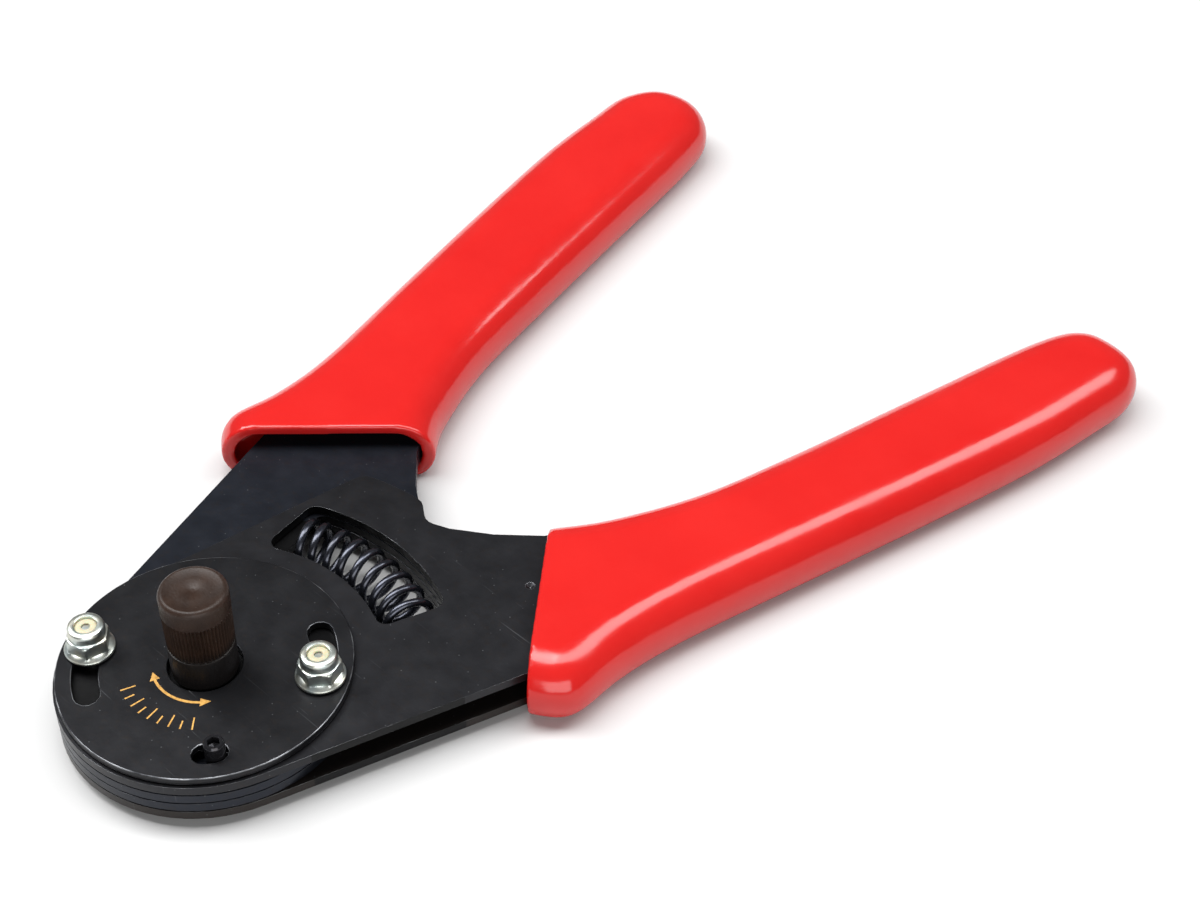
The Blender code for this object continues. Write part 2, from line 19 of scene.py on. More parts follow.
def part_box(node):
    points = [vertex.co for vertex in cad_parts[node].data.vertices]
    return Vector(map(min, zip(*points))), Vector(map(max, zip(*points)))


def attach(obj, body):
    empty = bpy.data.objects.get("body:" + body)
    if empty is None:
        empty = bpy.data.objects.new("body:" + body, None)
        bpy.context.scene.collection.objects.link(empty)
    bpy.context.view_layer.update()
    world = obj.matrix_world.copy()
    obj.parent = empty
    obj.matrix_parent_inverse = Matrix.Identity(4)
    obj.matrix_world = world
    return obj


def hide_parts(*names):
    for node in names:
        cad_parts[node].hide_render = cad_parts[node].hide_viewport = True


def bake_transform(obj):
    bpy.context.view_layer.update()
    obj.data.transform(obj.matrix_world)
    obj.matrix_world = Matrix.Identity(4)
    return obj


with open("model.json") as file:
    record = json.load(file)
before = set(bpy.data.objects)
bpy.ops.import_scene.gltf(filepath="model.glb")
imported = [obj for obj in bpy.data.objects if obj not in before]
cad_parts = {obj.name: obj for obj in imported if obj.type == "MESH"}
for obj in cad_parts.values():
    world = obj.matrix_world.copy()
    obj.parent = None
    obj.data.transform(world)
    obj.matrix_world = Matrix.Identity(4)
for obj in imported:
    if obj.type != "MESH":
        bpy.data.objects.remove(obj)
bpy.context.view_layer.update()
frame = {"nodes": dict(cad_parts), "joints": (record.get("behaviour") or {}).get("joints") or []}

MM = 0.001
joints = {joint["name"]: joint for joint in frame["joints"]}
PIVOT = Vector(joints["handle_pivot"]["pos_m"])


def box_mm(node):
    """Lowest and highest corner of a CAD node, in millimetres from the pivot axis."""
    low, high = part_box(node)
    return (low - PIVOT) / MM, (high - PIVOT) / MM


DISC_HIGH = box_mm("adjuster_disc")[1]
DISC_R = DISC_HIGH.x
DISC_TOP = DISC_HIGH.z


# --- camera, floor and light ---------------------------------------------------------------

CAMERA_SPOT = (233.7, -137.6, 303.5)
CAMERA_TILT = 47.465           # from straight down
CAMERA_HEADING = 44.8
CAMERA_ROLL = 0.17
CAMERA_LENS = 67.04
SENSOR_WIDTH = 36.0
CAMERA_REACH = 20.0            # metres
WORLD_STRENGTH = 0.14
FLOOR_HALF = 3.0               # metres


def add_camera():
    camera = bpy.data.objects.new("camera", bpy.data.cameras.new("camera"))
    bpy.context.scene.collection.objects.link(camera)
    camera.data.lens = CAMERA_LENS
    camera.data.sensor_width = SENSOR_WIDTH
    camera.data.clip_end = CAMERA_REACH
    camera.location = PIVOT + Vector(CAMERA_SPOT) * MM
    heading = Matrix.Rotation(radians(CAMERA_HEADING), 4, "Z")
    tilt = Matrix.Rotation(radians(CAMERA_TILT), 4, "X")
    roll = Matrix.Rotation(radians(CAMERA_ROLL), 4, "Z")
    camera.rotation_euler = (heading @ tilt @ roll).to_euler()
    bpy.context.scene.camera = camera


def seen_from_camera(right, ahead, up):
    """Spot in metres round the tool, along the camera's own left-right and near-far directions."""
    turn = Matrix.Rotation(radians(CAMERA_HEADING), 3, "Z")
    return turn @ Vector((right, ahead, up))


def add_light(name, spot, size, power, colour=(1.0, 1.0, 1.0), aim=(0.0, 0.0, 0.0)):
    light = bpy.data.lights.new(name, "AREA")
    light.shape = "RECTANGLE"
    light.size, light.size_y = size
    light.energy = power
    light.color = colour
    lamp = bpy.data.objects.new(name, light)
    bpy.context.scene.collection.objects.link(lamp)
    lamp.location = seen_from_camera(*spot)
    lamp.rotation_euler = (Vector(aim) - lamp.location).to_track_quat("-Z", "Y").to_euler()


def add_studio():
    """Dim even surroundings, two long softboxes over the tool and a low fill in front."""
    scene = bpy.context.scene
    scene.view_settings.view_transform = "Standard"
    world = bpy.data.worlds.new("studio")
    scene.world = world
    world.use_nodes = True
    world.node_tree.nodes["Background"].inputs["Color"].default_value = (1.0, 1.0, 1.0, 1.0)
    world.node_tree.nodes["Background"].inputs["Strength"].default_value = WORLD_STRENGTH
    add_light("softbox_left", (-0.42, 0.13, 0.90), (0.50, 1.1), 15.5)
    add_light("softbox_right", (0.45, 0.12, 0.90), (0.35, 1.1), 8.4)
    add_light("front_fill", (0.15, -0.90, 0.35), (1.0, 0.5), 5.5)


def add_floor():
    bm = bmesh.new()
    bmesh.ops.create_grid(bm, x_segments=8, y_segments=8, size=FLOOR_HALF)
    mesh = bpy.data.meshes.new("floor")
    bm.to_mesh(mesh)
    bm.free()
    floor = bpy.data.objects.new("floor", mesh)
    bpy.context.scene.collection.objects.link(floor)
    floor.data.materials.append(floor_paper())


# --- materials -----------------------------------------------------------------------------

WINDOW_R = (28.0, 46.0)        # the walls of the spring's window are between these, from the pivot
WINDOW_FLOOR_R = 41.5          # painted shade on the plate under the window reaches as far out as this
WINDOW_HALF_ANGLE = 33.5       # and as far as this to either side of +Y
KNOB_HOLE_R = 8.0              # reaches just past the edge of the hole round the knob


class Finish:
    """A Principled material, with short ways to wire the procedural nodes that feed it."""

    def __init__(self, name, **sockets):
        self.material = bpy.data.materials.new(name)
        self.material.use_nodes = True
        self.tree = self.material.node_tree
        self.shader = self.tree.nodes["Principled BSDF"]
        for socket, value in sockets.items():
            self.shader.inputs[socket.replace("_", " ")].default_value = value
        coordinates = self.node("ShaderNodeTexCoord")
        self.place = coordinates.outputs["Object"]
        self.facing = coordinates.outputs["Normal"]

    def node(self, kind, inputs=None, **settings):
        made = self.tree.nodes.new(kind)
        for setting, value in settings.items():
            setattr(made, setting, value)
        for socket, value in (inputs or {}).items():
            self.feed(made.inputs[socket], value)
        return made

    def feed(self, socket, value):
        if isinstance(value, bpy.types.NodeSocket):
            self.tree.links.new(value, socket)
        else:
            socket.default_value = value

    def stretched(self, scale, turn=0.0):
        """Object coordinates, turned about Z and scaled by a different amount each way."""
        mapping = self.node("ShaderNodeMapping", {"Vector": self.place, "Scale": scale})
        mapping.inputs["Rotation"].default_value = (0.0, 0.0, radians(turn))
        return mapping.outputs["Vector"]

    def noise(self, scale, detail=3.0, vector=None, roughness=0.5):
        inputs = {"Vector": vector or self.place, "Scale": scale, "Detail": detail,
                  "Roughness": roughness}
        return self.node("ShaderNodeTexNoise", inputs).outputs["Fac"]

    def cells(self, scale, output="Distance"):
        inputs = {"Vector": self.place, "Scale": scale}
        return self.node("ShaderNodeTexVoronoi", inputs).outputs[output]

    def part_of(self, vector, axis):
        return self.node("ShaderNodeSeparateXYZ", {"Vector": vector}).outputs[axis]

    def from_pivot(self):
        """Distance from the pivot axis of a piece whose origin is the frame's."""
        flat = self.node("ShaderNodeVectorMath", {0: self.place, 1: (1.0, 1.0, 0.0)},
                         operation="MULTIPLY").outputs["Vector"]
        return self.node("ShaderNodeVectorMath", {0: flat, 1: (PIVOT.x, PIVOT.y, 0.0)},
                         operation="DISTANCE").outputs["Value"]

    def remap(self, value, low, high, to_low=0.0, to_high=1.0):
        inputs = {"Value": value, "From Min": low, "From Max": high, "To Min": to_low,
                  "To Max": to_high}
        return self.node("ShaderNodeMapRange", inputs).outputs["Result"]

    def math(self, operation, first, second):
        return self.node("ShaderNodeMath", {0: first, 1: second}, operation=operation).outputs[0]

    def blend(self, factor, first, second):
        mix = self.node("ShaderNodeMix", data_type="RGBA")
        self.feed(mix.inputs["Factor"], factor)
        for socket, value in (("A", first), ("B", second)):
            colour_input = [i for i in mix.inputs if i.name == socket and i.type == "RGBA"][0]
            self.feed(colour_input, value)
        return [o for o in mix.outputs if o.type == "RGBA"][0]

    def set(self, socket, value):
        self.feed(self.shader.inputs[socket], value)

    def bump(self, height, distance, strength=1.0):
        inputs = {"Height": height, "Distance": distance, "Strength": strength}
        self.set("Normal", self.node("ShaderNodeBump", inputs).outputs["Normal"])


def rgb(red, green, blue):
    return (red, green, blue, 1.0)


def black_oxide(name, tint=(0.0165, 0.0168, 0.0195), shine=0.36, scratch_turn=25.0, painted_shade_reach=0.0,
                window_floor=False):
    """Oiled black oxide on rolled steel: mottled, with hairline scratches and specks of dust.

    The walls of the window get a painted shade, near black, and so does everything within the given
    reach of the pivot, which lies under the disc. With window_floor, so does the face that is seen
    through the window.
    """
    finish = Finish(name, Metallic=0.75)
    broad = finish.noise(55.0, 4.0)
    mottle = finish.noise(900.0, 5.0)
    pale = rgb(*(1.25 * c for c in tint))
    colour = finish.blend(finish.remap(broad, 0.3, 0.7), rgb(*tint), pale)
    brown = rgb(0.024, 0.017, 0.013)
    colour = finish.blend(finish.remap(mottle, 0.52, 0.8, 0.0, 0.4), colour, brown)
    along = finish.noise(1.0, 2.0, finish.stretched((60.0, 2600.0, 60.0), scratch_turn))
    across = finish.noise(1.0, 2.0, finish.stretched((70.0, 2200.0, 70.0), scratch_turn + 63.0))
    patches = finish.remap(finish.noise(38.0, 2.0), 0.48, 0.7)
    lines = finish.math("MAXIMUM", finish.remap(along, 0.70, 0.78), finish.remap(across, 0.72, 0.8))
    scratches = finish.math("MULTIPLY", lines, patches)
    specks = finish.remap(finish.cells(560.0), 0.07, 0.05)
    wear = finish.math("MAXIMUM", finish.math("MULTIPLY", scratches, 0.35),
                       finish.math("MULTIPLY", specks, 0.5))
    bare_steel = rgb(0.17, 0.18, 0.19)
    worn = finish.blend(wear, colour, bare_steel)
    upright = finish.part_of(finish.facing, "Z")
    wall = finish.math("LESS_THAN", finish.math("ABSOLUTE", upright, 0.0), 0.5)
    spread = finish.from_pivot()
    window = finish.math("MULTIPLY", finish.math("GREATER_THAN", spread, WINDOW_R[0] * MM),
                         finish.math("LESS_THAN", spread, WINDOW_R[1] * MM))
    if window_floor:
        ahead = finish.math("SUBTRACT", finish.part_of(finish.place, "Y"), PIVOT.y)
        in_line = finish.math("GREATER_THAN", finish.math("DIVIDE", ahead, spread),
                              cos(radians(WINDOW_HALF_ANGLE)))
        near = finish.math("LESS_THAN", spread, WINDOW_FLOOR_R * MM)
        wall = finish.math("MAXIMUM", wall, finish.math("MULTIPLY", in_line, near))
    # painted shade: near black on the window's walls, on the face seen through the window and under
    # the disc
    dark = finish.math("MAXIMUM", finish.math("MULTIPLY", wall, window),
                       finish.math("LESS_THAN", spread, painted_shade_reach * MM))
    # near-black colour of the painted shade
    painted_shade_colour = rgb(0.003, 0.003, 0.0035)
    finish.set("Base Color", finish.blend(dark, worn, painted_shade_colour))
    rough = finish.remap(finish.noise(220.0, 4.0), 0.3, 0.7, shine - 0.03, shine + 0.05)
    finish.set("Roughness", rough)
    finish.bump(finish.math("SUBTRACT", mottle, finish.math("MULTIPLY", scratches, 0.5)), 0.00002)
    return finish.material


def worn_edge(name):
    """Edge of a blackened plate, rubbed down to grey steel in places outside the knob's hole."""
    finish = Finish(name, Metallic=0.9)
    rub = finish.remap(finish.noise(160.0, 5.0), 0.42, 0.66)
    outside = finish.math("GREATER_THAN", finish.from_pivot(), KNOB_HOLE_R * MM)
    rub = finish.math("MULTIPLY", rub, outside)
    finish.set("Base Color", finish.blend(rub, rgb(0.025, 0.026, 0.030), rgb(0.33, 0.34, 0.36)))
    finish.set("Roughness", finish.remap(rub, 0.0, 1.0, 0.3, 0.42))
    finish.bump(finish.noise(1500.0, 3.0), 0.00002)
    return finish.material


def red_dip():
    """Glossy dipped vinyl, with faint runs and the slight orange peel of the dip."""
    finish = Finish("dipped_vinyl", IOR=1.5, Subsurface_Weight=0.12, Subsurface_Scale=0.001)
    finish.shader.inputs["Subsurface Radius"].default_value = (1.0, 0.25, 0.2)
    tone = finish.remap(finish.noise(45.0, 3.0), 0.3, 0.7)
    finish.set("Base Color", finish.blend(tone, rgb(0.47, 0.009, 0.008), rgb(0.51, 0.013, 0.011)))
    finish.set("Roughness", finish.remap(finish.noise(120.0, 4.0), 0.35, 0.7, 0.12, 0.20))
    peel = finish.math("ADD", finish.noise(260.0, 2.0),
                       finish.math("MULTIPLY", finish.noise(70.0, 2.0), 3.0))
    finish.bump(peel, 0.00004)
    return finish.material


def bright_zinc():
    """Zinc plating with a blue passivate and a faint yellow drift."""
    finish = Finish("bright_zinc", Metallic=1.0)
    drift = finish.remap(finish.noise(420.0, 3.0), 0.35, 0.65)
    colour = finish.blend(drift, rgb(0.52, 0.59, 0.58), rgb(0.62, 0.62, 0.54))
    stain = finish.remap(finish.noise(700.0, 3.0), 0.52, 0.8, 0.0, 0.5)
    finish.set("Base Color", finish.blend(stain, colour, rgb(0.36, 0.42, 0.43)))
    finish.set("Roughness", finish.remap(finish.noise(600.0, 3.0), 0.3, 0.7, 0.30, 0.38))
    finish.bump(finish.noise(900.0, 2.0), 0.000002)
    return finish.material


def lock_nylon():
    finish = Finish("lock_nylon", Roughness=0.45, Subsurface_Weight=0.3, Subsurface_Scale=0.0008)
    tone = finish.noise(1800.0, 2.0)
    finish.set("Base Color", finish.blend(tone, rgb(0.42, 0.39, 0.26), rgb(0.52, 0.49, 0.34)))
    finish.bump(tone, 0.00002)
    return finish.material


def brown_resin(painted_shade_low, painted_shade_high):
    """Moulded phenolic with a grainy matt skin, its skirt darkened by painted shade."""
    finish = Finish("brown_resin", Specular_IOR_Level=0.27)
    grain = finish.noise(2600.0, 4.0)
    tone = finish.remap(finish.noise(300.0, 4.0), 0.3, 0.7)
    colour = finish.blend(tone, rgb(0.016, 0.008, 0.005), rgb(0.027, 0.014, 0.009))
    dust = finish.remap(finish.cells(900.0), 0.07, 0.04, 0.0, 0.5)
    dusty = finish.blend(dust, colour, rgb(0.24, 0.19, 0.16))
    height = finish.part_of(finish.place, "Z")
    above_painted_shade = finish.remap(height, painted_shade_low * MM, painted_shade_high * MM)
    # painted shade: near black on the skirt, fading out between the two given heights
    finish.set("Base Color", finish.blend(above_painted_shade, rgb(0.005, 0.004, 0.004), dusty))
    finish.set("Roughness", finish.remap(grain, 0.3, 0.7, 0.34, 0.52))
    finish.bump(grain, 0.00003)
    return finish.material


def tool_steel():
    finish = Finish("hardened_steel", Metallic=1.0)
    tone = finish.remap(finish.noise(500.0, 4.0), 0.3, 0.7)
    finish.set("Base Color", finish.blend(tone, rgb(0.20, 0.20, 0.21), rgb(0.36, 0.36, 0.37)))
    finish.set("Roughness", finish.remap(finish.noise(1600.0, 2.0), 0.3, 0.7, 0.24, 0.4))
    finish.bump(finish.noise(3000.0, 2.0), 0.00001)
    return finish.material


def spring_steel():
    """Blued and oiled spring wire."""
    finish = Finish("spring_wire", Metallic=0.9, Coat_Weight=0.4, Coat_Roughness=0.1)
    tone = finish.remap(finish.noise(260.0, 3.0), 0.35, 0.65)
    finish.set("Base Color", finish.blend(tone, rgb(0.030, 0.032, 0.042), rgb(0.055, 0.060, 0.080)))
    finish.set("Roughness", finish.remap(finish.noise(1400.0, 3.0), 0.3, 0.7, 0.22, 0.34))
    finish.bump(finish.noise(2600.0, 2.0), 0.00001)
    return finish.material


def gold_ink():
    """Screen-printed gold, thin and slightly broken."""
    finish = Finish("gold_ink", Metallic=0.3)
    tone = finish.remap(finish.noise(1500.0, 3.0), 0.35, 0.65)
    finish.set("Base Color", finish.blend(tone, rgb(0.46, 0.24, 0.05), rgb(0.66, 0.37, 0.09)))
    finish.set("Roughness", finish.remap(tone, 0.0, 1.0, 0.4, 0.55))
    finish.bump(finish.noise(4000.0, 2.0), 0.00001)
    return finish.material


def floor_paper():
    finish = Finish("studio_paper", Roughness=0.75, Specular_IOR_Level=0.15)
    tone = finish.noise(3.0, 2.0)
    finish.set("Base Color", finish.blend(tone, rgb(0.56, 0.56, 0.56), rgb(0.58, 0.58, 0.58)))
    return finish.material


# --- plan geometry -------------------------------------------------------------------------

SHRINK_STEP = 0.3              # longest single step inwards
PARALLEL = 1e-12               # spans this close to parallel don't cross


def polar(radius, angle):
    return (-radius * sin(radians(angle)), radius * cos(radians(angle)))


def arc(radius, start, end, step=2.0, centre=(0.0, 0.0)):
    """Points on an arc, from one angle to another, both included."""
    count = max(2, round(abs(end - start) / step))
    points = []
    for i in range(count + 1):
        x, y = polar(radius, start + (end - start) * i / count)
        points.append((centre[0] + x, centre[1] + y))
    return points


def mirrored(points):
    """The same outline for the other hand, still counter-clockwise."""
    return [(-x, y) for x, y in reversed(points)]


def curve_through(points, steps):
    """Smooth curve through the points, each span cut into steps."""
    ends = [points[0]] + list(points) + [points[-1]]
    result = []
    for i in range(len(points) - 1):
        p0, p1, p2, p3 = (Vector(p) for p in ends[i:i + 4])
        for k in range(steps):
            t = k / steps
            spot = (2 * p1 + (p2 - p0) * t + (2 * p0 - 5 * p1 + 4 * p2 - p3) * t ** 2
                    + (3 * p1 - p0 - 3 * p2 + p3) * t ** 3) / 2
            result.append(tuple(spot))
    result.append(tuple(points[-1]))
    return result


def evened(points, spacing):
    """The same closed outline with its points about evenly spaced."""
    result = []
    for i, corner in enumerate(points):
        last = Vector(points[i - 1])
        here = Vector(corner)
        count = max(1, round((here - last).length / spacing))
        result += [tuple(last.lerp(here, k / count)) for k in range(1, count + 1)]
    return result


def inset(points, depth):
    """Moves a closed counter-clockwise outline inwards by depth."""
    result = []
    for i, corner in enumerate(points):
        here = Vector(corner)
        into = (here - Vector(points[i - 1])).normalized()
        out = (Vector(points[(i + 1) % len(points)]) - here).normalized()
        inward = Vector((-into.y - out.y, into.x + out.x)).normalized()
        reach = depth / max(0.5, inward.dot(Vector((-into.y, into.x))))
        result.append(tuple(here + inward * reach))
    return result


def crossing(a, b, c, d):
    """Where two spans cross, or None."""
    first = b - a
    second = d - c
    area = first.cross(second)
    if abs(area) < PARALLEL:
        return None
    t = (c - a).cross(second) / area
    u = (c - a).cross(first) / area
    return a + first * t if 0.0 <= t <= 1.0 and 0.0 <= u <= 1.0 else None


def untangled(points, reach=24):
    """The same outline, with each small loop in it drawn together to where it crosses."""
    spots = [Vector(p) for p in points]
    for i in range(len(spots) - reach):
        for j in range(i + reach - 1, i + 1, -1):
            knot = crossing(spots[i], spots[i + 1], spots[j], spots[j + 1])
            if knot:
                spots[i + 1:j + 1] = [knot] * (j - i)
                break
    return spots


def respaced(spots):
    """As many points as before, evenly along the same closed outline."""
    ring = spots + spots[:1]
    spans = [(b - a).length for a, b in zip(ring, ring[1:])]
    pitch = sum(spans) / len(spots)
    result = []
    k = 0
    passed = 0.0
    for i in range(len(spots)):
        while k < len(spans) - 1 and passed + spans[k] < i * pitch:
            passed += spans[k]
            k += 1
        share = (i * pitch - passed) / spans[k] if spans[k] else 0.0
        result.append(tuple(ring[k].lerp(ring[k + 1], min(1.0, share))))
    return result


def shrunk(points, depth):
    """Moves a closed outline inwards in small steps, without letting it cross itself."""
    steps = max(1, round(depth / SHRINK_STEP))
    for _ in range(steps):
        points = respaced(untangled(inset(points, depth / steps)))
    return points


def clip(points, angle, distance):
    """Keeps the part of an outline whose distance along a direction is below the limit."""
    along = Vector((sin(radians(angle)), cos(radians(angle))))
    result = []
    for i, corner in enumerate(points):
        last = Vector(points[i - 1])
        here = Vector(corner)
        last_over = along.dot(last) - distance
        here_over = along.dot(here) - distance
        if last_over * here_over < 0:
            result.append(tuple(last.lerp(here, last_over / (last_over - here_over))))
        if here_over <= 0:
            result.append(corner)
    return result


# --- mesh helpers --------------------------------------------------------------------------

def skin(rings, closed=False):
    """Closed skin over rings of points; a closed one joins its last ring to its first."""
    bm = bmesh.new()
    loops = [[bm.verts.new(point) for point in ring] for ring in rings]
    pairs = list(zip(loops, loops[1:]))
    if closed:
        pairs.append((loops[-1], loops[0]))
    for low, high in pairs:
        for i in range(len(low)):
            bm.faces.new((low[i - 1], low[i], high[i], high[i - 1]))
    if not closed:
        bm.faces.new(loops[0])
        bm.faces.new(loops[-1])
    return bm


def prism(outline, z0, z1):
    return skin([[(x, y, z) for x, y in outline] for z in (z0, z1)])


def soften(profile, radius, steps=4):
    """Rounds every corner of an open profile by a curve that starts radius away from it."""
    points = [Vector(p) for p in profile]
    result = [points[0]]
    for last, here, after in zip(points, points[1:], points[2:]):
        reach = min(radius, (here - last).length / 2, (after - here).length / 2)
        start = here + (last - here).normalized() * reach
        end = here + (after - here).normalized() * reach
        for i in range(steps + 1):
            t = i / steps
            result.append(start * (1 - t) ** 2 + here * 2 * t * (1 - t) + end * t ** 2)
    result.append(points[-1])
    return [tuple(p) for p in result]


def lathe(profile, sides, centre=(0.0, 0.0), closed=False, reshape=None):
    """Turned solid from (radius, height) pairs; reshape(angle, radius, z) may change a radius."""
    rings = []
    for radius, z in profile:
        ring = []
        for i in range(sides):
            angle = 360.0 * i / sides
            reach = reshape(angle, radius, z) if reshape else radius
            x, y = polar(reach, angle)
            ring.append((centre[0] + x, centre[1] + y, z))
        rings.append(ring)
    return skin(rings, closed)


def tube(path, radius, sides=14):
    """Round wire along a path, with softened ends."""
    points = [Vector(p) for p in path]
    side = Vector((0.0, 0.0, 1.0))
    last = len(points) - 1
    rings = []
    for i, point in enumerate(points):
        ahead = (points[min(i + 1, last)] - points[max(i - 1, 0)]).normalized()
        side = (side - ahead * side.dot(ahead)).normalized()
        other = ahead.cross(side)
        turns = [2 * pi * k / sides for k in range(sides)]
        spokes = [side * cos(turn) + other * sin(turn) for turn in turns]
        if i in (0, last):
            lip = point + ahead * radius * (-0.15 if i == 0 else 0.15)
            cap = [lip + spoke * radius * 0.8 for spoke in spokes]
        ring = [point + spoke * radius for spoke in spokes]
        if i == 0:
            rings += [cap, ring]
        elif i == last:
            rings += [ring, cap]
        else:
            rings.append(ring)
    return skin(rings)


def to_mesh(name, bm):
    """Turns a bmesh in millimetres from the pivot into a mesh in the shared frame."""
    bmesh.ops.recalc_face_normals(bm, faces=bm.faces)
    bm.transform(Matrix.Translation(PIVOT) @ Matrix.Scale(MM, 4))
    mesh = bpy.data.meshes.new(name)
    bm.to_mesh(mesh)
    bm.free()
    return mesh


def add_piece(name, shape, finish, slot, body, *nodes, sharp=35.0):
    """Adds a piece from a bmesh or a mesh; it rides on a body and stands for CAD nodes."""
    mesh = to_mesh(name, shape) if isinstance(shape, bmesh.types.BMesh) else shape
    mesh.shade_smooth()
    mesh.set_sharp_from_angle(angle=radians(sharp))
    mesh.materials.clear()
    mesh.materials.append(finish)
    piece = bpy.data.objects.new(name, mesh)
    bpy.context.scene.collection.objects.link(piece)
    if body:
        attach(piece, body)
    if nodes:
        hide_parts(*nodes)
    return piece


# --- CAD nodes that stay -------------------------------------------------------------------

PLATE_EDGE = 0.16              # width of the rounding on plates, and on small parts
SMALL_EDGE = 0.08
WELD_REACH = 1e-6              # metres
FLAT_ANGLE = 0.5               # faces that meet at less than this are one face
EDGE_ANGLE = 32.0              # edges sharper than this are rounded


def soften_edges(node, width, segments=3):
    """Joins the node's split faces and rounds its edges, with modifiers only."""
    piece = frame["nodes"][node]
    weld = piece.modifiers.new("weld", "WELD")
    weld.merge_threshold = WELD_REACH
    flat = piece.modifiers.new("flat_faces", "DECIMATE")
    flat.decimate_type = "DISSOLVE"
    flat.angle_limit = radians(FLAT_ANGLE)
    bevel = piece.modifiers.new("soft_edges", "BEVEL")
    bevel.width = width * MM
    bevel.segments = segments
    bevel.limit_method = "ANGLE"
    bevel.angle_limit = radians(EDGE_ANGLE)
    bevel.material = 1
    shade = piece.modifiers.new("even_shading", "WEIGHTED_NORMAL")
    shade.keep_sharp = False


def finish_node(node, *materials):
    """Gives a node its materials; the second is for the rounded edges."""
    mesh = frame["nodes"][node].data
    mesh.materials.clear()
    for material in materials:
        mesh.materials.append(material)


def finish_cad_nodes():
    edge = worn_edge("rubbed_edge")
    steel = tool_steel()
    # the top plate has painted shade under the disc, and the inner plates have it on the face seen
    # through the window
    top = black_oxide("black_oxide_top", scratch_turn=20.0, painted_shade_reach=DISC_R - 1.0)
    inner = black_oxide("black_oxide_inner", tint=(0.0135, 0.016, 0.023), scratch_turn=75.0,
                        window_floor=True)
    bottom = black_oxide("black_oxide_bottom", tint=(0.021, 0.0175, 0.016), scratch_turn=110.0)
    disc = black_oxide("black_oxide_disc", tint=(0.012, 0.0123, 0.0143), scratch_turn=-35.0)
    coats = {"outer_plate_top": top, "inner_plate_top": inner, "inner_plate_bottom": inner,
             "outer_plate_bottom": bottom, "adjuster_disc": disc, "guide_body": top,
             "guide_cap": top}
    for node, coat in coats.items():
        finish_node(node, coat, edge)
        soften_edges(node, PLATE_EDGE)
    machined = ["locator_stop"]
    machined += [f"{kind}_{number}" for kind in ("guide_dowel", "frame_rivet", "moving_rivet",
                                                 "handle_spacer") for number in (1, 2)]
    machined += [f"indenter_{number}" for number in (1, 2, 3, 4)]
    for node in machined:
        finish_node(node, steel, steel)
        soften_edges(node, SMALL_EDGE, 2)
    finish_node("indenter_return_ring", spring_steel())


# --- grips ---------------------------------------------------------------------------------

# Each outline is in the frame grip's own hand and runs on past the mouth, where it is cut off
FRAME_MOUTH = (50.2, 56.2)     # way that the mouth faces, from +Y, and distance from the pivot
MOVING_MOUTH = (45.5, 60.0)
FRAME_GRIP = [(31.2, 28.9), (42.6, 36.7), (47.2, 39.9), (49.3, 44.5), (49.0, 55.4), (50.8, 69.9),
              (56.8, 97.1), (62.9, 124.3), (68.1, 150.5), (70.1, 168.1), (70.6, 178.4),
              (67.4, 184.9), (61.1, 187.2), (53.0, 185.9), (47.4, 176.0), (40.6, 144.3),
              (35.1, 116.9), (29.7, 94.5), (22.6, 77.8), (16.4, 68.2), (8.7, 56.3)]
MOVING_GRIP = [(34.5, 31.4), (45.9, 38.7), (49.6, 41.5), (51.3, 45.7), (50.3, 55.4), (51.9, 69.8),
               (58.8, 96.7), (65.6, 123.8), (71.6, 149.8), (74.2, 167.6), (75.1, 179.0),
               (70.3, 187.9), (60.9, 190.4), (53.0, 186.0), (48.8, 175.6), (41.8, 144.1),
               (35.7, 116.7), (30.1, 94.3), (23.0, 77.5), (17.7, 69.9), (9.0, 59.0)]
GRIP_WAIST = 6.0               # height of the widest level
GRIP_EDGES = (5.0, 8.0)        # width of the rounding below and above it
TANG = [(33.7, 18.7), (45.4, 55.0), (66.5, 165.0), (51.5, 168.0), (33.5, 88.0), (17.9, 65.0),
        (11.0, 58.6)]
RUN_ON = 14.0                  # how far the loose ends of an outline are drawn out
MOUTH_DEPTH = 12.0             # of the wide part of the moving grip's mouth
MOUTH_WALL = 2.6
MOUTH_EDGES = (3.0, 5.5)       # width of the rounding at the foot and the roof of the mouth
WIDE_MOUTH_GAP = 0.9           # over the top plate, in the moving grip
GAP = 0.3                      # clearance round the plates
BEFORE_MOUTH = (50.0, 60.0)    # depth and half width of what is cut away in front of a mouth
SPACING = 0.8                  # between points of a grip's outline
SPAN_STEPS = 9                 # points to each span of its curve
ROUNDING_STEPS = 12            # levels from the waist to a face
VOXEL = 0.42                   # fineness of the grips' skin
RELAX_PASSES = 13


def before_mouth(angle, distance):
    """Ground plan of everything between the pivot and a grip's mouth."""
    facing = Vector((sin(radians(angle)), cos(radians(angle))))
    across = Vector((facing.y, -facing.x)) * BEFORE_MOUTH[1]
    near, far = facing * (distance - BEFORE_MOUTH[0]), facing * distance
    return [tuple(near - across), tuple(near + across), tuple(far + across), tuple(far - across)]


def half_skin(outline, z_end, edge):
    """Rings from the waist to one face, over a rounding of the given width."""
    rings = []
    level = outline
    depth = 0.0
    for i in range(ROUNDING_STEPS + 1):
        angle = pi / 2 * i / ROUNDING_STEPS
        inwards = edge * (1 - cos(angle))
        level = shrunk(level, inwards - depth) if i else level
        depth = inwards
        z = GRIP_WAIST + (z_end - GRIP_WAIST) * sin(angle)
        rings.append([(x, y, z) for x, y in level])
    return rings


def grip_skin(outline, z0, z1, edges):
    """Rounded solid over an outline, flat below and softly shouldered above."""
    below = half_skin(outline, z0, edges[0])
    above = half_skin(outline, z1, edges[1])
    return skin(below[:0:-1] + above)


